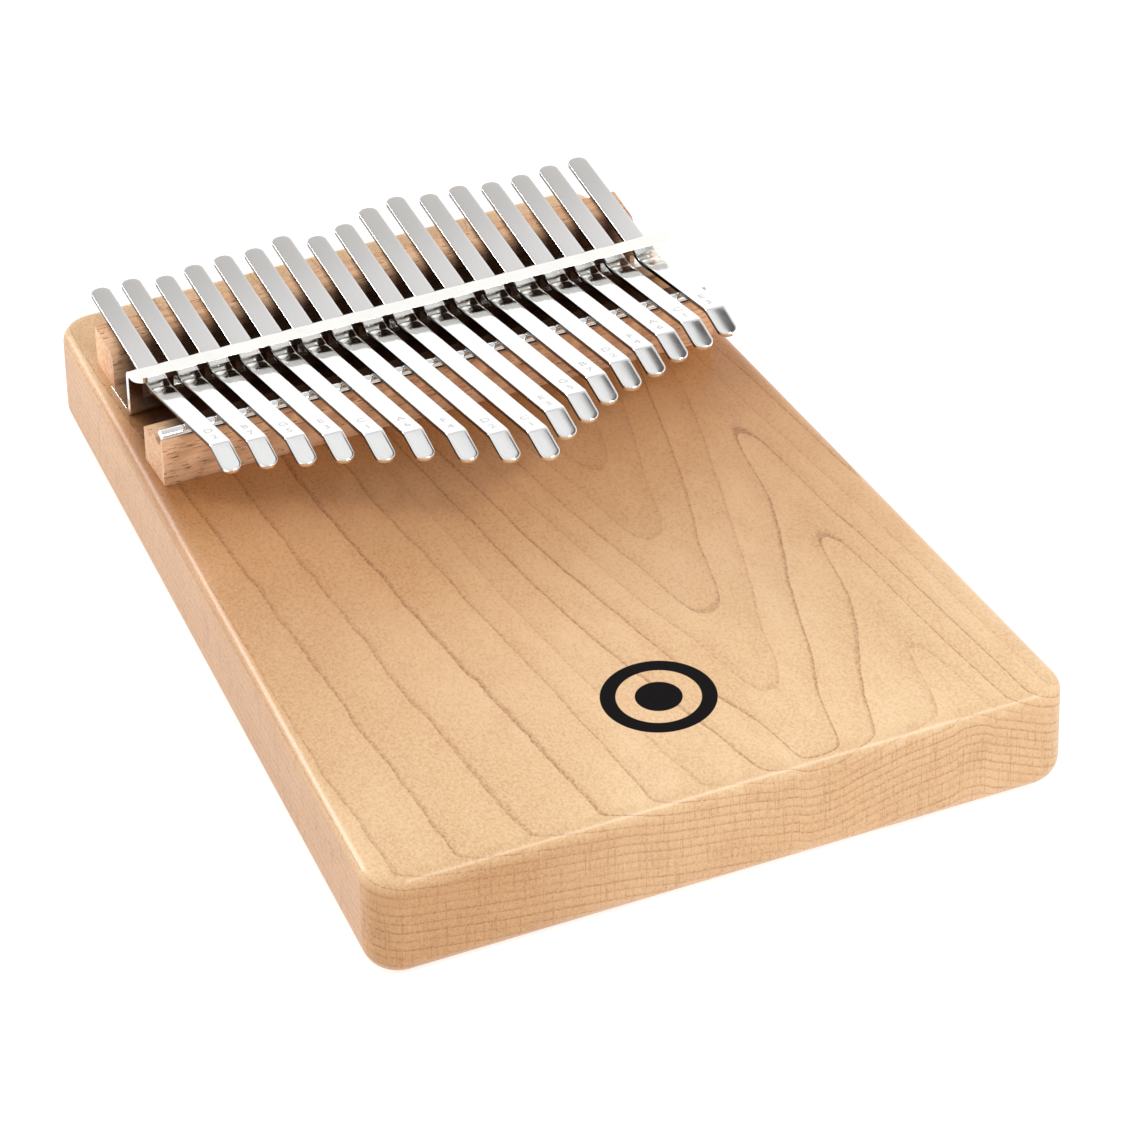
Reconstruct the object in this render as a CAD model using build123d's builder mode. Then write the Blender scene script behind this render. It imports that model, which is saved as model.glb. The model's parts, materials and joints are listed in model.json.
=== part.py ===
from build123d import *
from math import cos, radians, sin, sqrt, tan
import os

# A seventeen-tine thumb piano: a solid board, two wooden bridges, a folded sheet
# clamp, a round saddle and a row of spring-steel tines.
# Millimetres. X runs across the tines, -Y points at the player, +Z is up.
# The origin is the middle of the board's flat underside.

os.makedirs("parts", exist_ok=True)

# Board
board_length = 187.5
board_front_width = 135.0
board_back_width = 111.0
board_thickness = 22.0
board_corner_radius = 6.6
board_top_round = 3.0
board_bottom_round = 5.0

# Row of tines
tine_count = 17
tine_pitch = 6.28
# The row, its clamp and the screws sit a little to the right of the board's middle
row_shift = 1.0
tine_thickness = 1.0
tine_gauge_half = tine_thickness / 2
tine_tail_width = 3.85
tine_clamp_width = 4.2
tine_blade_width = 3.9
tine_clamp_y = 56.0
tine_blade_y = 45.0
tine_tip_round = 0.46
tine_tail_round = 0.35

# Side view of a tine: low under the clamp, high at both ends
tail_slope = 4.1
blade_slope = 12.9
valley_y = 51.8
valley_top = 8.1
valley_bend = 5.0
lip_length = 7.2
lip_droop = 13.5
lip_bend = 2.4
trim_allowance = 2.0

# Lengths: each tine is cut to its note of the major scale
longest_tongue = 50.9
stretch = 0.603
note_semitones = (26, 23, 19, 16, 12, 9, 5, 2, 0, 4, 7, 11, 14, 17, 21, 24, 28)
# Where each tail ends after tuning, measured from the middle of the board
tail_ends = (
    84.7, 85.0, 83.4, 84.4, 84.9, 84.7, 86.2, 83.6, 85.0,
    88.0, 89.2, 87.5, 87.7, 86.3, 86.2, 86.8, 87.0,
)

# Back bridge
back_bridge_front = 66.0
back_bridge_back = 75.2
back_bridge_half = 54.0
back_bridge_shift = 0.4
back_bridge_nose_height = 7.9
back_bridge_chamfer = 1.0

# Folded clamp
sheet = 1.2
clamp_half = 55.4
clamp_height = 11.0
web_front = 55.3
foot_back = 65.5
lip_front = 51.7
fold_radius = 1.4
flange_corner_radius = 2.6
hole_width = 4.9
hole_sill = 4.2
arch_clearance = 0.03

# Clamp screws
screw_count = 5
screw_spacing = 21.5
screw_y = 61.0
screw_head_radius = 2.9
screw_head_height = 2.2
screw_head_round = 1.0
screw_shank_radius = 1.5
screw_reach = 13.0
screw_clearance_radius = 1.7
recess_width = 0.7
recess_span = 3.0
recess_depth = 1.3

# Front bridge and saddle
saddle_y = 34.4
front_bridge_front = 32.2
front_bridge_back = 42.0
front_bridge_half = 56.0
front_bridge_shift = -0.5
front_wall_height = 9.9
shoulder_height = 9.0
shoulder_end = 37.4
ledge_start = 38.4
ledge_height = 7.4
saddle_radius = 1.3
saddle_half = 55.6
saddle_chamfer = 0.25
tongue_clearance = 0.08
joint_gap = 0.1

top = board_thickness
deck = Plane.XY.offset(top)
cutter_height = 3 * board_thickness
centre_number = (tine_count + 1) // 2

# Line of the tine's mid surface, and where it crosses the saddle
tail_rise = tan(radians(tail_slope))
blade_rise = tan(radians(blade_slope))
valley_z = top + valley_top - tine_gauge_half
pluck_z = valley_z + (valley_y - saddle_y) * blade_rise
saddle_drop = (tine_gauge_half + tongue_clearance + saddle_radius) / cos(radians(blade_slope))
saddle_z = pluck_z - saddle_drop
# Point on the mid surface straight above the line of contact
pluck_y = saddle_y + (pluck_z - saddle_z) * sin(radians(blade_slope)) * cos(radians(blade_slope))
pluck_z = valley_z + (valley_y - pluck_y) * blade_rise

# The clamp's arches press on the corners of the tines
hole_radius = hole_width / 2
web_middle = web_front + sheet / 2
tine_top_at_web = valley_z + (web_middle - valley_y) * tail_rise + tine_gauge_half
arch_shoulder = sqrt(hole_radius ** 2 - (tine_clamp_width / 2) ** 2)
arch_centre_z = tine_top_at_web - arch_shoulder + arch_clearance
arch_centre_z = arch_centre_z + sheet / 2 * tail_rise

# The back bridge carries the tails
back_bridge_height = valley_z + (back_bridge_back - valley_y) * tail_rise - top
back_bridge_height = back_bridge_height - tine_gauge_half / cos(radians(tail_slope))


def tine_x(number):
    """Middle of a tine, counted from 1 at the left."""
    return row_shift + (number - centre_number) * tine_pitch


def screw_places(height):
    """Centres of the clamp screws along the foot of the clamp."""
    first = row_shift - (screw_count - 1) / 2 * screw_spacing
    return [(first + place * screw_spacing, screw_y, height) for place in range(screw_count)]


def tip_y_of(number):
    """Where the tip of a tine reaches towards the player."""
    return saddle_y - longest_tongue * 2 ** (-stretch * note_semitones[number - 1] / 12)


def outline(number):
    """Plan outline of a whole tine as a sketch on the ground plane."""
    x = tine_x(number)
    tip_y = tip_y_of(number)
    tail_y = tail_ends[number - 1]
    with BuildSketch(Plane.XY, mode=Mode.PRIVATE) as plan:
        with BuildLine():
            Polyline(
                (x - tine_tail_width / 2, tail_y),
                (x - tine_clamp_width / 2, tine_clamp_y),
                (x - tine_blade_width / 2, tine_blade_y),
                (x - tine_blade_width / 2, tip_y),
                (x + tine_blade_width / 2, tip_y),
                (x + tine_blade_width / 2, tine_blade_y),
                (x + tine_clamp_width / 2, tine_clamp_y),
                (x + tine_tail_width / 2, tail_y),
                close=True,
            )
        make_face()
        tail_corners = plan.vertices().sort_by(Axis.Y)[-2:]
        fillet(tail_corners, tine_tail_width * tine_tail_round)
        tip_corners = plan.vertices().sort_by(Axis.Y)[:2]
        fillet(tip_corners, tine_blade_width * tine_tip_round)
    return plan.sketch


# Board: a slab tapering towards the back, every edge eased
with BuildPart() as board:
    with BuildSketch() as board_plan:
        with BuildLine():
            Polyline(
                (-board_front_width / 2, -board_length / 2),
                (board_front_width / 2, -board_length / 2),
                (board_back_width / 2, board_length / 2),
                (-board_back_width / 2, board_length / 2),
                close=True,
            )
        make_face()
        fillet(board_plan.vertices(), board_corner_radius)
    extrude(amount=board_thickness)
    fillet(board.faces().sort_by(Axis.Z)[-1].edges(), board_top_round)
    fillet(board.faces().sort_by(Axis.Z)[0].edges(), board_bottom_round)
    with Locations(*screw_places(top)):
        Hole(radius=screw_shank_radius, depth=screw_reach + joint_gap - sheet)
board.part.label = "board"
export_step(board.part, "parts/board.step")

# Back bridge: a low block with a sloping top
with BuildPart() as back_bridge:
    with BuildSketch(Plane.YZ.offset(back_bridge_shift)):
        with BuildLine():
            Polyline(
                (back_bridge_back, top),
                (back_bridge_back, top + back_bridge_height),
                (back_bridge_front + back_bridge_chamfer, top + back_bridge_nose_height),
                (back_bridge_front, top + back_bridge_nose_height - back_bridge_chamfer),
                (back_bridge_front, top),
                close=True,
            )
        make_face()
    extrude(amount=back_bridge_half, both=True)
back_bridge.part.label = "back_bridge"
export_step(back_bridge.part, "parts/back_bridge.step")

# Front bridge: a wall towards the player, a groove for the saddle and a low ledge behind
with BuildPart() as front_bridge:
    with BuildSketch(Plane.YZ.offset(front_bridge_shift)):
        with BuildLine():
            Polyline(
                (front_bridge_front, top),
                (front_bridge_front, top + front_wall_height),
                (saddle_y, top + front_wall_height),
                (saddle_y, top + shoulder_height),
                (shoulder_end, top + shoulder_height),
                (ledge_start, top + ledge_height),
                (front_bridge_back, top + ledge_height),
                (front_bridge_back, top),
                close=True,
            )
        make_face()
        with Locations((saddle_y, saddle_z)):
            Circle(saddle_radius, mode=Mode.SUBTRACT)
    extrude(amount=front_bridge_half, both=True)
front_bridge.part.label = "front_bridge"
export_step(front_bridge.part, "parts/front_bridge.step")

# Saddle: a round bar lying in the groove
with BuildPart() as saddle:
    with BuildSketch(Plane.YZ.offset(front_bridge_shift)):
        with Locations((saddle_y, saddle_z)):
            Circle(saddle_radius)
    extrude(amount=saddle_half, both=True)
    chamfer(saddle.edges().filter_by(GeomType.CIRCLE), saddle_chamfer)
saddle.part.label = "saddle_rod"
export_step(saddle.part, "parts/saddle_rod.step")

# Clamp: one sheet folded to a Z, with an arched window for every tine
with BuildPart() as clamp:
    with BuildSketch(Plane.YZ.offset(row_shift)):
        with BuildLine() as fold:
            Polyline(
                (foot_back, top + sheet / 2),
                (web_middle, top + sheet / 2),
                (web_middle, top + clamp_height - sheet / 2),
                (lip_front, top + clamp_height - sheet / 2),
            )
            fillet(fold.vertices().group_by(Axis.X)[1], fold_radius)
        trace(line_width=sheet)
    extrude(amount=clamp_half, both=True)
    lip_corners = clamp.edges().filter_by(Axis.Z).group_by(Axis.Y)[0]
    fillet(lip_corners, flange_corner_radius)
    with BuildSketch(Plane.XZ.offset(-web_front + sheet)):
        for number in range(1, tine_count + 1):
            x = tine_x(number)
            with Locations((x, arch_centre_z)):
                Circle(hole_radius)
            with Locations((x, (top + hole_sill + arch_centre_z) / 2)):
                Rectangle(hole_width, arch_centre_z - top - hole_sill)
    extrude(amount=-3 * sheet, mode=Mode.SUBTRACT)
    with Locations(*screw_places(top + sheet)):
        Hole(radius=screw_clearance_radius, depth=2 * sheet)
clamp.part.label = "clamp_bracket"
export_step(clamp.part, "parts/clamp_bracket.step")

# Clamp screws: pan heads with a cross recess
with BuildPart() as screws:
    with BuildSketch(deck.offset(sheet)):
        with Locations(*[(x, y) for x, y, z in screw_places(0)]):
            Circle(screw_head_radius)
    extrude(amount=screw_head_height)
    fillet(screws.faces().sort_by(Axis.Z)[-screw_count:].edges(), screw_head_round)
    with BuildSketch(deck.offset(sheet)):
        with Locations(*[(x, y) for x, y, z in screw_places(0)]):
            Circle(screw_shank_radius)
    extrude(amount=-screw_reach)
    with BuildSketch(deck.offset(sheet + screw_head_height)):
        with Locations(*[(x, y) for x, y, z in screw_places(0)]):
            Rectangle(recess_span, recess_width)
            Rectangle(recess_width, recess_span)
    extrude(amount=-recess_depth, mode=Mode.SUBTRACT)
screws.part.label = "clamp_screws"
export_step(screws.part, "parts/clamp_screws.step")

# Tines. Each real tine is one strip. The length clamped between the bridges and the
# length that sings in front of the saddle are two nodes, so the front one can flex.
half_gap = joint_gap / 2 * cos(radians(blade_slope))
for number in range(1, tine_count + 1):
    plan = outline(number)
    x = tine_x(number)
    tail_y = tail_ends[number - 1] + trim_allowance
    split_back = pluck_y + half_gap
    split_front = pluck_y - half_gap
    bend_y = tip_y_of(number) + lip_length * cos(radians(lip_droop))
    bend_z = valley_z + (valley_y - bend_y) * blade_rise
    past_tip = (lip_length + trim_allowance) * cos(radians(lip_droop))
    past_drop = (lip_length + trim_allowance) * sin(radians(lip_droop))

    with BuildPart() as root:
        with BuildSketch(Plane.YZ.offset(x - tine_clamp_width / 2)):
            with BuildLine() as root_line:
                Polyline(
                    (tail_y, valley_z + (tail_y - valley_y) * tail_rise),
                    (valley_y, valley_z),
                    (split_back, valley_z + (valley_y - split_back) * blade_rise),
                )
                fillet(root_line.vertices().group_by(Axis.X)[1], valley_bend)
            trace(line_width=tine_thickness)
        extrude(amount=tine_clamp_width)
        extrude(plan, amount=cutter_height, mode=Mode.INTERSECT)
    root.part.label = f"tine_{number:02d}_root"
    export_step(root.part, f"parts/tine_{number:02d}_root.step")

    with BuildPart() as tongue:
        with BuildSketch(Plane.YZ.offset(x - tine_clamp_width / 2)):
            with BuildLine() as tongue_line:
                Polyline(
                    (split_front, valley_z + (valley_y - split_front) * blade_rise),
                    (bend_y, bend_z),
                    (bend_y - past_tip, bend_z - past_drop),
                )
                fillet(tongue_line.vertices().group_by(Axis.X)[1], lip_bend)
            trace(line_width=tine_thickness)
        extrude(amount=tine_clamp_width)
        extrude(plan, amount=cutter_height, mode=Mode.INTERSECT)
    tongue.part.label = f"tine_{number:02d}_tongue"
    export_step(tongue.part, f"parts/tine_{number:02d}_tongue.step")
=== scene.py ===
import json
import math

import bmesh
import bpy
from mathutils import Matrix, Vector


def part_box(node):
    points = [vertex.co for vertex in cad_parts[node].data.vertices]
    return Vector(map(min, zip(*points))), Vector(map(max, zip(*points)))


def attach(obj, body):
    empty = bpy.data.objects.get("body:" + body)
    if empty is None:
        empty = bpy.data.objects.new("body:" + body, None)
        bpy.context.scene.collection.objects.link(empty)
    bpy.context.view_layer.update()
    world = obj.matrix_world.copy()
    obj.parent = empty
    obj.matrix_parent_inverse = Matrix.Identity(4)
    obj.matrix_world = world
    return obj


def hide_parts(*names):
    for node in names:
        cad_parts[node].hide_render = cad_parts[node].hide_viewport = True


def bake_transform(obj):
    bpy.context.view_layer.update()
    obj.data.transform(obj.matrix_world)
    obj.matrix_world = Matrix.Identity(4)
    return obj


# Looks of the thumb piano. Metres, in the row frame: X across the tines, -Y towards the
# player, +Z up, origin in the middle of the board's underside. Materials count in mm.

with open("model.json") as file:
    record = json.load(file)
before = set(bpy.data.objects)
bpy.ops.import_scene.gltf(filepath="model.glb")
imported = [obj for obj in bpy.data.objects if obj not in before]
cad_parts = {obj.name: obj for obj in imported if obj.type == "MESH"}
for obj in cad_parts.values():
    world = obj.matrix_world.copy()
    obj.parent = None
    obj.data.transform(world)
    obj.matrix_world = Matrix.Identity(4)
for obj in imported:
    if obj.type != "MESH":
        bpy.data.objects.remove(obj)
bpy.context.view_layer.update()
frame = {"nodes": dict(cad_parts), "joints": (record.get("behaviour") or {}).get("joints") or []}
MM = 0.001

# Side view and widths of a tine, as the CAD has them
TINE_THICKNESS = 1.0 * MM
TAIL_SLOPE = math.radians(4.1)
BLADE_SLOPE = math.radians(12.9)
VALLEY_Y = 51.8 * MM
VALLEY_TOP = 8.1 * MM
VALLEY_BEND = 5.0 * MM
LIP_LENGTH = 7.2 * MM
LIP_DROOP = math.radians(13.5)
LIP_BEND = 2.4 * MM
TAIL_WIDTH = 3.85 * MM
CLAMP_WIDTH = 4.2 * MM
BLADE_WIDTH = 3.9 * MM
TAIL_NARROW_Y = 86.0 * MM
CLAMP_Y = 56.0 * MM
BLADE_Y = 45.0 * MM
# Corner radii at the two ends, as shares of the half width there
TAIL_ROUND = 0.85
TIP_ROUND = 0.92

deck_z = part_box("board")[1].z


def add_object(name, data):
    """Puts a mesh, curve, light or camera in the scene."""
    piece = bpy.data.objects.new(name, data)
    bpy.context.scene.collection.objects.link(piece)
    return piece


# ---------------------------------------------------------------- shader helpers

class Nodes:
    """Short calls for building the node tree of a material or of the world."""

    def __init__(self, owner, shader="Principled BSDF"):
        owner.use_nodes = True
        self.owner = owner
        self.tree = owner.node_tree
        self.shader = self.tree.nodes[shader]
        self.coordinates = self.tree.nodes.new("ShaderNodeTexCoord").outputs

    def link(self, value, socket):
        if isinstance(value, bpy.types.NodeSocket):
            self.tree.links.new(value, socket)
        else:
            socket.default_value = value

    def set(self, **values):
        """Gives the shader's sockets their values or links."""
        for name, value in values.items():
            self.link(value, self.shader.inputs[name.replace("_", " ")])

    def math(self, operation, a, b=0.0, c=0.0, clamp=False):
        node = self.tree.nodes.new("ShaderNodeMath")
        node.operation = operation
        node.use_clamp = clamp
        for value, socket in zip((a, b, c), node.inputs):
            self.link(value, socket)
        return node.outputs[0]

    def times(self, a, b):
        return self.math("MULTIPLY", a, b)

    def split(self, vector):
        """The X, Y and Z of a vector."""
        node = self.tree.nodes.new("ShaderNodeSeparateXYZ")
        self.link(vector, node.inputs[0])
        return tuple(node.outputs)

    def axes(self):
        """The place on the object in mm."""
        return [self.times(axis, 1 / MM) for axis in self.split(self.coordinates["Object"])]

    def noise(self, x, y, z, detail=2.0, rough=0.5):
        """Noise with its own number of waves per mm along each axis."""
        place = self.tree.nodes.new("ShaderNodeVectorMath")
        place.operation = "MULTIPLY"
        self.link(self.coordinates["Object"], place.inputs[0])
        place.inputs[1].default_value = (x / MM, y / MM, z / MM)
        node = self.tree.nodes.new("ShaderNodeTexNoise")
        self.link(place.outputs[0], node.inputs["Vector"])
        node.inputs["Scale"].default_value = 1.0
        node.inputs["Detail"].default_value = detail
        node.inputs["Roughness"].default_value = rough
        return node.outputs["Fac"]

    def random(self, value):
        """One steady random number for each whole number."""
        node = self.tree.nodes.new("ShaderNodeTexWhiteNoise")
        node.noise_dimensions = "1D"
        self.link(value, node.inputs["W"])
        return node.outputs["Value"]

    def spread(self, value, low, high, to_low=0.0, to_high=1.0):
        """A soft step: to_low below low, to_high above high."""
        node = self.tree.nodes.new("ShaderNodeMapRange")
        node.interpolation_type = "SMOOTHSTEP"
        for entry, socket in zip((value, low, high, to_low, to_high), node.inputs):
            self.link(entry, socket)
        return node.outputs[0]

    def level(self, share, at_none, at_full):
        """Eases from one number to another as share goes from 0 to 1."""
        return self.spread(share, 0.0, 1.0, at_none, at_full)

    def band(self, value, rise, fall, beyond=0.0):
        """Rises from 0 to 1 over one range of the value and falls over another."""
        return self.times(self.spread(value, *rise), self.spread(value, *fall, 1.0, beyond))

    def mix(self, share, a, b, blend="MIX"):
        node = self.tree.nodes.new("ShaderNodeMix")
        node.data_type = "RGBA"
        node.blend_type = blend
        self.link(share, node.inputs["Factor"])
        for value, socket in ((a, node.inputs["A"]), (b, node.inputs["B"])):
            self.link(value if isinstance(value, bpy.types.NodeSocket) else (*value, 1.0), socket)
        return node.outputs["Result"]

    def tint(self, share, colour, by):
        """Multiplies a colour by another as share goes from 0 to 1."""
        return self.mix(share, colour, self.mix(1.0, colour, by, "MULTIPLY"))

    def curve(self, value, points):
        """A smooth curve through (input, output) points, flat beyond the first and the last."""
        node = self.tree.nodes.new("ShaderNodeFloatCurve")
        line = node.mapping.curves[0]
        low, high = points[0][0], points[-1][0]
        tallest = max(y for x, y in points)
        lowest = min(y for x, y in points)
        scaled = [((x - low) / (high - low), (y - lowest) / (tallest - lowest)) for x, y in points]
        line.points[0].location = scaled[0]
        line.points[1].location = scaled[-1]
        for spot in scaled[1:-1]:
            line.points.new(*spot)
        node.mapping.update()
        share = self.math("DIVIDE", self.math("SUBTRACT", value, low), high - low, clamp=True)
        self.link(share, node.inputs["Value"])
        return self.math("MULTIPLY_ADD", node.outputs[0], tallest - lowest, lowest)

    def ramp(self, value, stops):
        """A straight-sided grey ramp through (position, grey) stops."""
        node = self.tree.nodes.new("ShaderNodeValToRGB")
        self.link(value, node.inputs["Fac"])
        elements = node.color_ramp.elements
        for element, (position, grey) in zip(elements, (stops[0], stops[-1])):
            element.position = position
            element.color = (grey, grey, grey, 1)
        for position, grey in stops[1:-1]:
            elements.new(position).color = (grey, grey, grey, 1)
        return node.outputs["Color"]

    def bump(self, height, distance, strength=1.0, normal=None):
        node = self.tree.nodes.new("ShaderNodeBump")
        node.inputs["Strength"].default_value = strength
        node.inputs["Distance"].default_value = distance
        self.link(height, node.inputs["Height"])
        if normal is not None:
            self.link(normal, node.inputs["Normal"])
        return node.outputs[0]

    def bevel(self, radius):
        node = self.tree.nodes.new("ShaderNodeBevel")
        node.samples = 4
        node.inputs["Radius"].default_value = radius
        return node.outputs[0]


# ---------------------------------------------------------------- wood

# Growth rings of the board as (x, ring number): a valley at x 18 and a ridge at x 47 give
# nested arches that open both ways
RINGS_ACROSS = (
    (-70, 10.6), (-43, 8), (-22, 6), (-10, 4), (2, 2), (12, 0), (18, -0.9), (26, 0), (38, 1.8),
    (43, 2.4), (47, 3.0), (52, 2.2), (60, 0.6), (70, -1.5),
)
# How far the ring number falls for each mm towards the back, as (x, fall)
RINGS_LEAN = (
    (-70, 0.002), (-30, 0.006), (-18, 0.012), (-5, 0.021), (8, 0.033), (18, 0.040), (30, 0.038),
    (40, 0.031), (47, 0.028), (70, 0.019),
)
# How far it rises for each mm below the top
RINGS_DEPTH = 0.52

# Maple's tones
PALE = (0.850, 0.590, 0.345)
HONEY = (0.750, 0.490, 0.255)
LEFT_SHADE_TINT = (0.82, 0.74, 0.66)
FIGURE = (0.60, 0.33, 0.145)
LATE_WOOD = (0.55, 0.30, 0.135)
RING_LINE = (0.36, 0.140, 0.045)
RAY = (0.50, 0.27, 0.13)
FIBRE = (0.56, 0.31, 0.15)
GLINT = (0.95, 0.72, 0.46)
TINE_SHADE_TINT = (0.78, 0.70, 0.60)
SHADE_TINT = (0.74, 0.56, 0.43)
SIDE_SHADE_LEFT = (0.70, 0.56, 0.44)
SIDE_SHADE_RIGHT = (0.88, 0.80, 0.74)
BRIDGE_GAP_SHADE = (0.035, 0.009, 0.004)
INK = (0.006, 0.005, 0.005)

# Beech's tones
BEECH_PALE = (0.92, 0.56, 0.33)
BEECH_RED = (0.70, 0.37, 0.20)
BEECH_CLOUD = (0.95, 0.63, 0.39)
BEECH_FLECK = (0.96, 0.71, 0.47)
PORE = (0.10, 0.035, 0.015)
BEECH_SHADE = (0.040, 0.012, 0.006)

# The printed roundel in mm: its middle, the dot, the ring's two edges, and how soft they are
MARK_X = -0.5
MARK_Y = -65.0
MARK_DOT = 4.2
MARK_RING = (7.6, 10.4)
MARK_SOFT = 0.1


def growth_rings(n, x, y, z):
    """The ring number at a place. It is one solid field, so the rings run from face to face."""
    across = n.curve(x, RINGS_ACROSS)
    along = n.times(y, n.curve(x, RINGS_LEAN))
    depth = n.times(n.math("SUBTRACT", deck_z / MM, z), RINGS_DEPTH)
    ring = n.math("ADD", n.math("SUBTRACT", across, along), depth)
    # The rings waver more on the left, where they run straight, than in the arches
    slow = n.noise(0.040, 0.018, 0.03, detail=1.0)
    ripple = n.noise(0.22, 0.12, 0.14, detail=3.0)
    for waver, on_left, on_right in ((slow, 0.45, 0.24), (ripple, 0.17, 0.09)):
        size = n.spread(x, -25.0, 18.0, on_left, on_right)
        ring = n.math("ADD", ring, n.times(n.math("SUBTRACT", waver, 0.5), size))
    return ring


def roundel(n, x, y):
    """The printed mark: a ring round a dot."""
    dx = n.math("SUBTRACT", x, MARK_X)
    dy = n.math("SUBTRACT", y, MARK_Y)
    far = n.math("SQRT", n.math("ADD", n.times(dx, dx), n.times(dy, dy)))
    inner, outer = MARK_RING
    ring = n.band(far, (inner, inner + MARK_SOFT), (outer, outer + MARK_SOFT))
    dot = n.spread(far, MARK_DOT, MARK_DOT + MARK_SOFT, 1.0, 0.0)
    return n.math("ADD", ring, dot, clamp=True)


def maple():
    """Flat-sawn maple, lacquered on top, with the printed mark and painted shade on its sides, its
    left, under the tines and between the bridges.
    """
    n = Nodes(bpy.data.materials.new("maple"))
    x, y, z = n.axes()
    on_top = n.spread(z, 18.5, 21.8)

    # Each ring darkens towards its late wood and ends in a line, some lines stronger than others
    ring = growth_rings(n, x, y, z)
    step = n.math("FRACT", ring)
    line_end = 0.985
    soft = n.spread(step, n.level(on_top, 0.66, 0.88), line_end)
    sharp = n.spread(step, line_end, 1.0, 1.0, 0.0)
    late_wood = n.times(n.spread(step, 0.30, 0.97, 0.0, 0.22), sharp)
    strength = n.level(n.random(n.math("FLOOR", ring)), 0.30, 1.0)
    line = n.times(n.times(n.times(soft, sharp), strength), n.level(on_top, 0.60, 0.82))

    # Rays are thin upright sheets, so they are dashes on top and flecks at the sides
    ray = n.noise(4.2, 0.55, 0.16, rough=0.6)
    fibre = n.noise(1.7, 0.35, 1.7, detail=3.0, rough=0.7)
    cloud = n.noise(0.035, 0.02, 0.05)
    stipple = n.noise(1.9, 1.3, 1.9, detail=3.0, rough=0.8)
    figure = n.noise(0.16, 0.07, 0.16, detail=3.0, rough=0.65)

    colour = n.mix(n.spread(cloud, 0.3, 0.7), PALE, HONEY)
    # Painted shade: the board is painted darker towards its left
    colour = n.tint(n.spread(x, -66.0, 30.0, 0.42, 0.0), colour, LEFT_SHADE_TINT)
    colour = n.mix(n.spread(figure, 0.42, 0.68, 0.0, 0.30), colour, FIGURE)
    colour = n.mix(late_wood, colour, LATE_WOOD)
    colour = n.mix(line, colour, RING_LINE)
    colour = n.mix(n.times(n.spread(ray, 0.50, 0.72), n.level(on_top, 0.80, 0.15)), colour, RAY)
    colour = n.mix(n.spread(fibre, 0.45, 0.75, 0.0, 0.20), colour, FIBRE)
    colour = n.mix(n.spread(stipple, 0.38, 0.62, 0.0, 0.42), colour, GLINT)

    # Painted shade: under the row of tines the top is painted darker and more golden
    tine_shade = n.times(n.band(y, (2.0, 30.0), (50.0, 62.0)), on_top)
    colour = n.tint(tine_shade, colour, TINE_SHADE_TINT)
    # Painted shade: the sides are painted darker than the top, more so on the left
    side_shade = n.mix(n.spread(x, -66.0, 5.0), SIDE_SHADE_LEFT, SIDE_SHADE_RIGHT)
    colour = n.mix(on_top, n.mix(1.0, colour, side_shade, "MULTIPLY"), colour)
    shaded = n.times(n.band(y, (-95.0, 30.0), (55.0, 78.0), 0.15), on_top)
    colour = n.tint(shaded, colour, SHADE_TINT)
    # Painted shade: the strip between the bridges is painted nearly black, fading out at its ends
    inside = n.spread(n.math("ABSOLUTE", x), 50.0, 56.0, 1.0, 0.0)
    bridge_gap_shade = n.times(n.band(y, (36.0, 44.0), (64.0, 70.0)), inside)
    colour = n.mix(n.times(bridge_gap_shade, 0.95), colour, BRIDGE_GAP_SHADE)
    printed = n.times(roundel(n, x, y), on_top)
    colour = n.mix(printed, colour, INK)

    n.set(
        Base_Color=colour,
        Roughness=n.spread(stipple, 0.3, 0.7, 0.26, 0.36),
        Specular_IOR_Level=n.math("MULTIPLY_ADD", n.math("MAXIMUM", printed, bridge_gap_shade), -0.31, 0.34),
        Normal=n.bump(n.math("MULTIPLY_ADD", fibre, 0.5, n.times(stipple, 0.5)), 0.05 * MM, 0.5),
    )
    return n.owner


def beech():
    """Reddish-brown bridge wood with short dark pores along X."""
    n = Nodes(bpy.data.materials.new("beech"))
    x, y, z = n.axes()
    pore = n.spread(n.noise(0.42, 3.4, 3.4, rough=0.55), 0.60, 0.70)
    streak = n.noise(0.05, 1.0, 1.0, detail=3.0, rough=0.6)
    cloud = n.noise(0.05, 0.08, 0.08)
    fleck = n.noise(0.9, 2.6, 2.6)
    colour = n.mix(n.spread(streak, 0.3, 0.7), BEECH_PALE, BEECH_RED)
    colour = n.mix(n.spread(cloud, 0.35, 0.7, 0.0, 0.45), colour, BEECH_CLOUD)
    colour = n.mix(n.spread(fleck, 0.55, 0.75, 0.0, 0.35), colour, BEECH_FLECK)
    colour = n.mix(n.times(pore, 0.75), colour, PORE)
    # Painted shade: under the tines, from the front bridge's wall to the back bridge's nose, the wood
    # is painted nearly black
    inside = n.spread(n.math("ABSOLUTE", x), 49.0, 54.0, 1.0, 0.25)
    beech_shade = n.times(n.band(y, (32.4, 32.9), (66.0, 72.5)), inside)
    colour = n.mix(n.times(beech_shade, 0.92), colour, BEECH_SHADE)
    height = n.math("MULTIPLY_ADD", streak, 0.4, n.times(pore, -1.0))
    n.set(
        Base_Color=colour,
        Roughness=n.spread(streak, 0.3, 0.7, 0.50, 0.66),
        Specular_IOR_Level=n.math("MULTIPLY_ADD", beech_shade, -0.28, 0.30),
        Normal=n.bump(height, 0.1 * MM, 0.7, n.bevel(0.35 * MM)),
    )
    return n.owner


# ---------------------------------------------------------------- metal

# Plating: how far its corners are softened, and how bright it still is in the haze and the pits
PLATED_EDGE = 0.12 * MM
HAZY = 0.88
PITTED = 0.6

# The tines' steel
MIRROR = (0.96, 0.96, 0.955)
BRUSHED = (0.70, 0.70, 0.69)
SATIN = (0.80, 0.79, 0.775)
WORN = (0.60, 0.58, 0.565)
SIDE_REFLECTION_DARK = (0.16, 0.15, 0.14)


def darker(colour, share):
    return tuple(part * share for part in colour)


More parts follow.
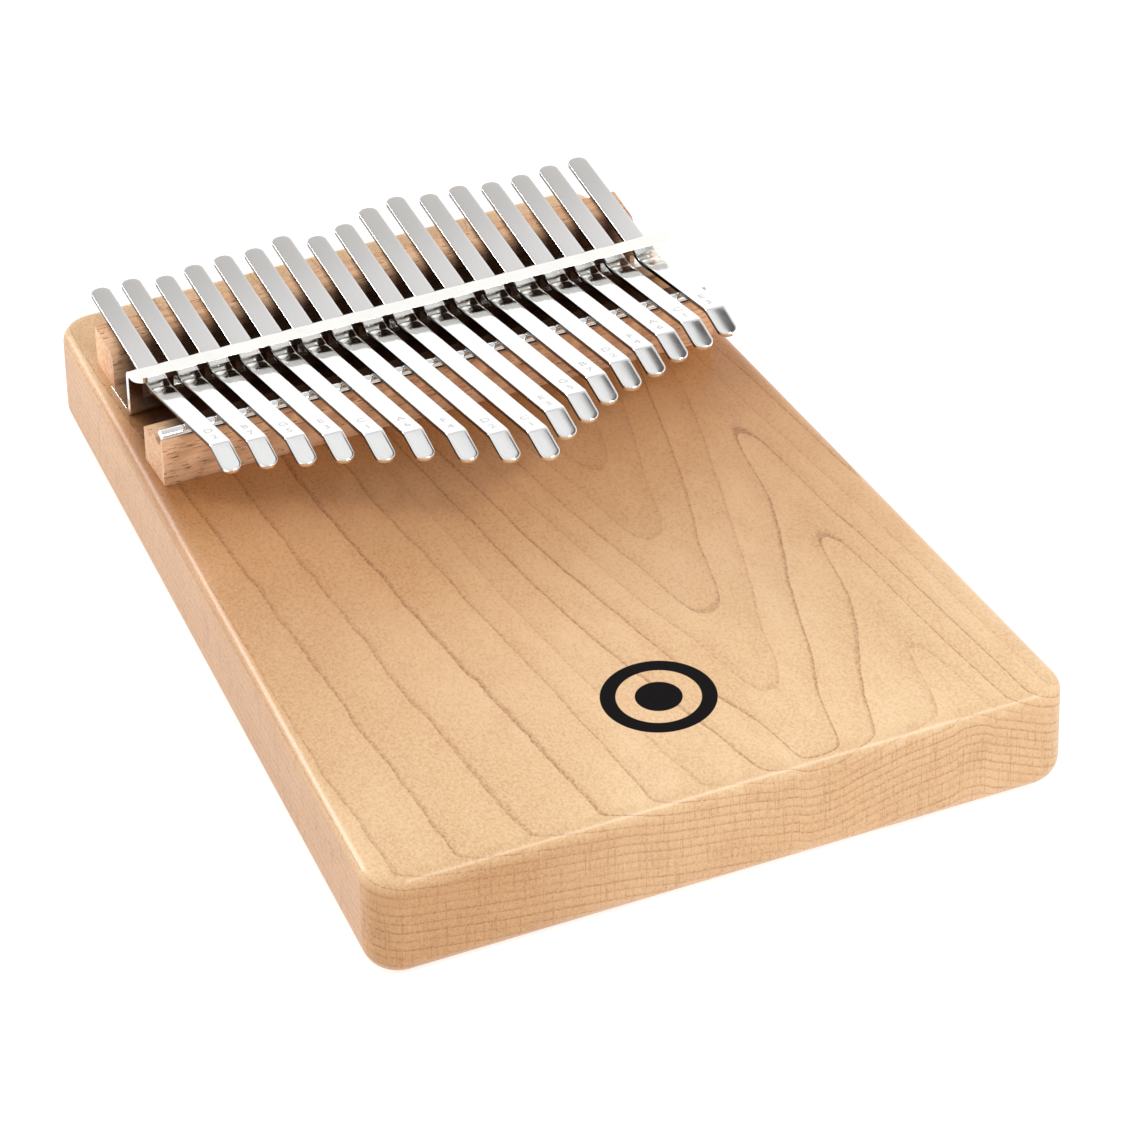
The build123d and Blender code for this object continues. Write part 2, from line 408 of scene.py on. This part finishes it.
def plated(name, colour, rough, wear):
    """Bright plated steel with faint handling marks and a soft edge."""
    n = Nodes(bpy.data.materials.new(name))
    haze = n.noise(0.12, 0.12, 0.12, detail=3.0, rough=0.6)
    lines = n.noise(0.5, 6.0, 6.0)
    spots = n.noise(2.2, 2.2, 2.2, detail=1.0)
    low = n.spread(haze, 0.3, 0.7, rough, rough + wear)
    tone = n.mix(n.spread(haze, 0.35, 0.7, 0.0, 0.25), colour, darker(colour, HAZY))
    tone = n.mix(n.spread(spots, 0.72, 0.8, 0.0, 0.25), tone, darker(colour, PITTED))
    n.set(
        Base_Color=tone,
        Metallic=1.0,
        Roughness=n.math("ADD", low, n.spread(spots, 0.5, 0.8, 0.0, wear)),
        Normal=n.bump(lines, 0.004 * MM, 0.5, n.bevel(PLATED_EDGE)),
    )
    return n.owner


def tine_steel():
    """Spring steel: satin and worn at the tail, a mirror in front, with a painted dark reflection on
    its sides.
    """
    n = Nodes(bpy.data.materials.new("tine_steel"))
    x, y, z = n.axes()
    brushed = n.noise(7.0, 0.12, 0.5, detail=3.0, rough=0.6)
    haze = n.noise(0.25, 0.10, 0.2, detail=3.0, rough=0.6)
    at_tail = n.spread(y, 50.0, 58.0)
    tail = n.mix(n.spread(y, 58.0, 84.0), SATIN, WORN)
    colour = n.mix(at_tail, MIRROR, tail)
    colour = n.mix(n.spread(brushed, 0.35, 0.7, 0.0, 0.14), colour, BRUSHED)
    # Painted reflection: the faces turned along X are painted dark
    facing_side = n.split(n.coordinates["Normal"])[0]
    painted_dark_side = n.spread(n.math("ABSOLUTE", facing_side), 0.80, 0.97)
    n.set(
        Base_Color=n.mix(painted_dark_side, colour, SIDE_REFLECTION_DARK),
        Metallic=1.0,
        Roughness=n.math("ADD", n.level(at_tail, 0.06, 0.22), n.spread(haze, 0.3, 0.7, 0.0, 0.05)),
        Normal=n.bump(brushed, 0.0015 * MM, 0.4),
    )
    return n.owner


def etched():
    """Dull grey of the shallow engraving."""
    n = Nodes(bpy.data.materials.new("etched"))
    speck = n.noise(6.0, 6.0, 6.0)
    n.set(
        Base_Color=n.mix(n.spread(speck, 0.3, 0.7), (0.50, 0.50, 0.49), (0.66, 0.66, 0.65)),
        Metallic=0.9,
        Roughness=n.spread(speck, 0.3, 0.7, 0.35, 0.5),
        Normal=n.bump(speck, 0.004 * MM, 0.5),
    )
    return n.owner


# ---------------------------------------------------------------- tines

# Longest step between two rings of a strip, on its bends and on its straight runs
BEND_STEP = 0.3 * MM
STRAIGHT_STEP = 2.2 * MM
# Where the bend in front is in a tine's side line: tail, valley arc, blade, lip arc, lip
LIP_ARC = 3

# Cross section: rounded edges, and a top that is a trace higher in the middle
EDGE_ROUND = 0.17 * MM
EDGE_STEPS = 4
CROWN = 0.02 * MM
CROWN_PLACES = (0.75, 0.5, 0.25, 0.0, -0.25, -0.5, -0.75)
END_STEPS = 12
# How far from its ends a strip has no rings but those of the ends, in corner radii
END_ROOM = 1.05
SAME_SPOT = 0.002 * MM


class SideLine:
    """A line of straight runs joined by arcs in the YZ plane, read by length along it."""

    def __init__(self, points, radii):
        self.runs = []
        self.length = 0.0
        start = points[0]
        for corner, after, radius in zip(points[1:], points[2:], radii):
            before = (corner - start).normalized()
            leaving = (after - corner).normalized()
            turn = before.angle_signed(leaving)
            cut = radius * math.tan(abs(turn) / 2)
            self.add_straight(start, corner - before * cut)
            self.add_arc(corner - before * cut, before, -turn, radius)
            start = corner + leaving * cut
        self.add_straight(start, points[-1])

    def add_straight(self, a, b):
        self.runs.append((self.length, (b - a).length, a, (b - a).normalized(), 0.0, 0.0))
        self.length += (b - a).length

    def add_arc(self, a, heading, turn, radius):
        self.runs.append((self.length, radius * abs(turn), a, heading, turn, radius))
        self.length += radius * abs(turn)

    def at(self, s):
        """Place and upward normal at length s, as (y, z) pairs. Past the ends it runs on straight."""
        run = self.runs[0]
        for candidate in self.runs:
            if s >= candidate[0]:
                run = candidate
        first, length, a, heading, turn, radius = run
        if radius == 0.0:
            place, way = a + heading * (s - first), heading
        else:
            angle = turn * (s - first) / length
            bulge = 1 if turn > 0 else -1
            centre = a + Vector((-heading.y, heading.x)) * bulge * radius
            way = Matrix.Rotation(angle, 2) @ heading
            place = centre - Vector((-way.y, way.x)) * bulge * radius
        # The line runs towards -Y, so up is to the right of its heading
        return place, Vector((way.y, -way.x))

    def stations(self):
        """Lengths at which the strip gets a ring: close on the arcs, sparse on straights."""
        marks = []
        for first, length, a, heading, turn, radius in self.runs:
            count = max(1, math.ceil(length / (BEND_STEP if radius else STRAIGHT_STEP)))
            marks += [first + length * index / count for index in range(count)]
        return marks + [self.length]


def tine_line(number):
    """Mid line of one tine from its tail to its tip, from the CAD's boxes."""
    tail_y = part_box(f"tine_{number:02d}_root")[1].y
    tip_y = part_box(f"tine_{number:02d}_tongue")[0].y
    valley = Vector((VALLEY_Y, deck_z + VALLEY_TOP - TINE_THICKNESS / 2))
    tail = valley + Vector((tail_y - VALLEY_Y, (tail_y - VALLEY_Y) * math.tan(TAIL_SLOPE)))
    bend_y = tip_y + LIP_LENGTH * math.cos(LIP_DROOP)
    bend = valley + Vector((bend_y - VALLEY_Y, (VALLEY_Y - bend_y) * math.tan(BLADE_SLOPE)))
    tip = bend - Vector((math.cos(LIP_DROOP), math.sin(LIP_DROOP))) * LIP_LENGTH
    return SideLine([tail, valley, bend, tip], [VALLEY_BEND, LIP_BEND])


def middle_x(node):
    """Middle of a CAD node across the row."""
    low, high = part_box(node)
    return (low.x + high.x) / 2


def width_at(y):
    """Half width of a strip at a place along Y: widest at the clamp."""
    if y > CLAMP_Y:
        end_width, end_y = TAIL_WIDTH, TAIL_NARROW_Y
    else:
        end_width, end_y = BLADE_WIDTH, BLADE_Y
    share = min(1.0, (y - CLAMP_Y) / (end_y - CLAMP_Y))
    return (CLAMP_WIDTH + (end_width - CLAMP_WIDTH) * share) / 2


def corner_spots(half, radius, at_start, total):
    """One rounded end of the plan: (length along, half width, outward slope)."""
    spots = []
    for index in range(END_STEPS + 1):
        angle = math.pi / 2 * index / END_STEPS
        along = radius * (1 - math.cos(angle))
        out = (-math.cos(angle), math.sin(angle))
        if not at_start:
            along = total - along
            out = (math.cos(angle), math.sin(angle))
        spots.append((along, half - radius + radius * math.sin(angle), out))
    return spots if at_start else spots[::-1]


def strip_outline(line):
    """Plan of the strip from tail to tip."""
    total = line.length
    tail_half = width_at(line.at(0.0)[0].x)
    tip_half = width_at(line.at(total)[0].x)
    tail_radius = tail_half * TAIL_ROUND
    tip_radius = tip_half * TIP_ROUND
    spots = corner_spots(tail_half, tail_radius, True, total)
    for s in line.stations():
        if tail_radius * END_ROOM < s < total - tip_radius * END_ROOM:
            spots.append((s, width_at(line.at(s)[0].x), (0.0, 1.0)))
    return spots + corner_spots(tip_half, tip_radius, False, total)


def section(half, out_s, out_u):
    """One cross section as (shift along, across, level): round the edges, slightly crowned on top."""
    points = []
    core = TINE_THICKNESS / 2 - EDGE_ROUND
    inner = half - out_u * EDGE_ROUND
    for side in (1, -1):
        for step in range(-EDGE_STEPS, EDGE_STEPS + 1):
            angle = -side * math.pi / 2 * step / EDGE_STEPS
            inset = EDGE_ROUND * (1 - math.cos(angle))
            level = (math.copysign(core, angle) if step else 0.0) + EDGE_ROUND * math.sin(angle)
            points.append((-out_s * inset, side * (half - out_u * inset), level))
        face = -side
        for share in CROWN_PLACES:
            crown = CROWN * (1 - share * share) if face == 1 else 0.0
            level = face * (TINE_THICKNESS / 2 + crown)
            points.append((-out_s * EDGE_ROUND, side * share * inner, level))
    return points


def close_end(mesh, ring):
    """Fills the rounded end of a strip with bands from one side to the other."""
    bottom = 2 * EDGE_STEPS
    far = bottom + len(CROWN_PLACES) + 1
    top = far + bottom
    mesh.faces.new(ring[:2] + ring[top - 1:])
    for level in range(1, bottom - 1):
        mesh.faces.new((ring[level], ring[level + 1], ring[top - level - 1], ring[top - level]))
    mesh.faces.new(ring[bottom - 1:far + 2])


def make_tine(number, material):
    """One continuous strip with rounded edges, which stands for its root and its tongue."""
    line = tine_line(number)
    x = middle_x(f"tine_{number:02d}_root")
    mesh = bmesh.new()
    rings = []
    for s, half, (out_s, out_u) in strip_outline(line):
        verts = []
        for shift, across, level in section(half, out_s, out_u):
            place, normal = line.at(s + shift)
            spot = place + normal * level
            verts.append(mesh.verts.new((x + across, spot.x, spot.y)))
        rings.append(verts)
    for ring, after in zip(rings, rings[1:]):
        for index, vert in enumerate(ring):
            follow = (index + 1) % len(ring)
            mesh.faces.new((vert, ring[follow], after[follow], after[index]))
    close_end(mesh, rings[0])
    close_end(mesh, rings[-1])
    bmesh.ops.remove_doubles(mesh, verts=mesh.verts, dist=SAME_SPOT)
    bmesh.ops.recalc_face_normals(mesh, faces=mesh.faces)
    for face in mesh.faces:
        face.smooth = True
    data = bpy.data.meshes.new(f"tine_{number:02d}")
    mesh.to_mesh(data)
    mesh.free()
    data.materials.append(material)
    return add_object(data.name, data)


def place_tines(material):
    """All tines, each bending over the saddle from the frame to its tongue."""
    for joint in frame["joints"]:
        number = int(joint["child"].split("_")[1])
        piece = make_tine(number, material)
        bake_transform(piece)
        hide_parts(f"tine_{number:02d}_root", f"tine_{number:02d}_tongue")


# ---------------------------------------------------------------- engraving

# Note letter and number of each tine from left to right
NOTES = (
    "D 2", "B 7", "G 5", "E 3", "C 1", "A 6", "F 4", "D 2", "C 1", "E 3", "G 5", "B 7", "D 2", "F 4",
    "A 6", "C 1", "E 3",
)
LETTER_SIZE = 2.6 * MM
LETTER_EXTRUDE = 0.012 * MM
LINE_SPACING = 1.3 * LETTER_SIZE
BACK_OF_BEND = 1.2 * MM
SAME_CORNER = 0.001 * MM


def letter_mesh(name, letter):
    """A thin letter lying in the XY plane."""
    text = bpy.data.curves.new(name, "FONT")
    text.body = letter
    text.size = LETTER_SIZE
    text.align_x = "CENTER"
    text.extrude = LETTER_EXTRUDE
    text.resolution_u = 2
    holder = add_object(name, text)
    bpy.context.view_layer.update()
    shape = bpy.data.meshes.new_from_object(holder)
    bpy.data.objects.remove(holder)
    return shape


def engrave(material):
    """A note letter and number on each blade behind the bend, as shallow dull strokes."""
    lift = TINE_THICKNESS / 2 + CROWN
    for number, note in enumerate(NOTES, start=1):
        line = tine_line(number)
        x = middle_x(f"tine_{number:02d}_tongue")
        bend_s = line.runs[LIP_ARC][0]
        joined = bmesh.new()
        for row, letter in enumerate(note.split()[::-1]):
            shape = letter_mesh(f"letter_{number:02d}_{row}", letter)
            place, normal = line.at(bend_s - BACK_OF_BEND - row * LINE_SPACING)
            up = Vector((0, normal.x, normal.y))
            back = Vector((0, normal.y, -normal.x))
            turn = Matrix((Vector((1, 0, 0)), back, up)).transposed().to_4x4()
            spot = Vector((x, place.x, place.y)) + up * lift
            shape.transform(Matrix.Translation(spot) @ turn)
            joined.from_mesh(shape)
        bmesh.ops.remove_doubles(joined, verts=joined.verts, dist=SAME_CORNER)
        data = bpy.data.meshes.new(f"tine_{number:02d}_note")
        joined.to_mesh(data)
        joined.free()
        data.materials.clear()
        data.materials.append(material)
        piece = add_object(data.name, data)
        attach(piece, f"tongue_{number:02d}")


# ---------------------------------------------------------------- stage, lights, camera

FLOOR_REACH = 6.0
FLOOR_GAP = 0.2 * MM

# Greys of the studio's walls and ceiling: by height, by depth (0 the player's side, 1 the far
# side), and for the gap in the ceiling by direction along X and Z
WALL_BY_HEIGHT = (
    (0.0, 1.0), (0.60, 1.0), (0.68, 0.66), (0.76, 0.60), (0.86, 0.80), (0.93, 0.70), (1.0, 0.66),
)
WALL_BY_DEPTH = ((0.20, 0.60), (0.27, 0.95), (0.52, 1.0))
GAP_BY_X = ((0.334, 0.0), (0.350, 1.0), (0.42, 1.0), (0.50, 0.0))
GAP_BY_Z = ((0.79, 0.0), (0.815, 1.0), (0.88, 1.0), (0.92, 0.0))
GAP_TINT = (0.14, 0.13, 0.125)


def dress(node, material):
    """Gives a CAD node its material."""
    data = frame["nodes"][node].data
    data.materials.clear()
    data.materials.append(material)


def make_floor():
    """A wide pale floor just under the board."""
    mesh = bmesh.new()
    square = ((-1, -1), (1, -1), (1, 1), (-1, 1))
    corners = [mesh.verts.new((x * FLOOR_REACH, y * FLOOR_REACH, -FLOOR_GAP)) for x, y in square]
    mesh.faces.new(corners)
    data = bpy.data.meshes.new("floor")
    mesh.to_mesh(data)
    mesh.free()
    n = Nodes(bpy.data.materials.new("floor"))
    tone = n.noise(0.01, 0.01, 0.01, detail=1.0)
    n.set(
        Base_Color=n.mix(n.spread(tone, 0.3, 0.7), (0.44, 0.44, 0.44), (0.48, 0.48, 0.48)),
        Roughness=0.8,
        Specular_IOR_Level=0.1,
        Emission_Color=(1, 1, 1, 1),
        Emission_Strength=0.74,
    )
    data.materials.append(n.owner)
    add_object("floor", data)


def make_world():
    """A studio: white low down behind the instrument, greyer overhead and towards the player."""
    world = bpy.data.worlds.new("studio")
    bpy.context.scene.world = world
    n = Nodes(world, "Background")
    x, y, z = n.split(n.coordinates["Generated"])
    depth = n.math("MULTIPLY_ADD", y, 0.5, 0.5)
    room = n.mix(1.0, n.ramp(z, WALL_BY_HEIGHT), n.ramp(depth, WALL_BY_DEPTH), "MULTIPLY")
    # The lips of the right-hand tines mirror a dark gap in the ceiling
    gap = n.mix(1.0, n.ramp(x, GAP_BY_X), n.ramp(z, GAP_BY_Z), "MULTIPLY")
    n.set(Color=n.tint(gap, room, GAP_TINT), Strength=1.12)


def make_light(name, place, size, energy):
    """A rectangular soft light that points at the instrument."""
    light = bpy.data.lights.new(name, "AREA")
    light.shape = "RECTANGLE"
    light.size, light.size_y = size
    light.energy = energy
    holder = add_object(name, light)
    holder.location = place
    holder.rotation_mode = "QUATERNION"
    holder.rotation_quaternion = (-Vector(place)).to_track_quat("-Z", "Y")


def make_camera():
    """A long lens, from the player's left and well above the board."""
    azimuth = math.radians(23.17)
    elevation = math.radians(36.28)
    roll = math.radians(1.35)
    distance = 1.1903
    target = Vector((6.62, -6.57, 10.36)) * MM
    outward = math.cos(elevation)
    back = Vector((-math.sin(azimuth) * outward, -math.cos(azimuth) * outward, math.sin(elevation)))
    right = (-back).cross(Vector((0, 0, 1))).normalized()
    up = back.cross(right)
    along_x = right * math.cos(roll) - up * math.sin(roll)
    along_y = right * math.sin(roll) + up * math.cos(roll)
    data = bpy.data.cameras.new("camera")
    data.sensor_width = 36.0
    data.lens = 205.984
    camera = add_object("camera", data)
    turn = Matrix((along_x, along_y, back)).transposed().to_4x4()
    camera.matrix_world = Matrix.Translation(target + back * distance) @ turn
    bpy.context.scene.camera = camera


maple_wood = maple()
beech_wood = beech()
dress("board", maple_wood)
dress("back_bridge", beech_wood)
dress("front_bridge", beech_wood)
dress("clamp_bracket", plated("bracket_nickel", (0.90, 0.885, 0.85), 0.06, 0.06))
dress("saddle_rod", plated("rod_steel", (0.86, 0.86, 0.85), 0.07, 0.06))
dress("clamp_screws", plated("screw_steel", (0.72, 0.71, 0.69), 0.18, 0.10))
place_tines(tine_steel())
engrave(etched())

make_floor()
make_world()
make_light("key", (0.45, -0.83, 1.04), (0.42, 0.18), 6.5)
make_light("rim", (-0.84, 1.05, 0.45), (0.30, 0.42), 6.0)
make_camera()
bpy.context.scene.view_settings.view_transform = "Standard"
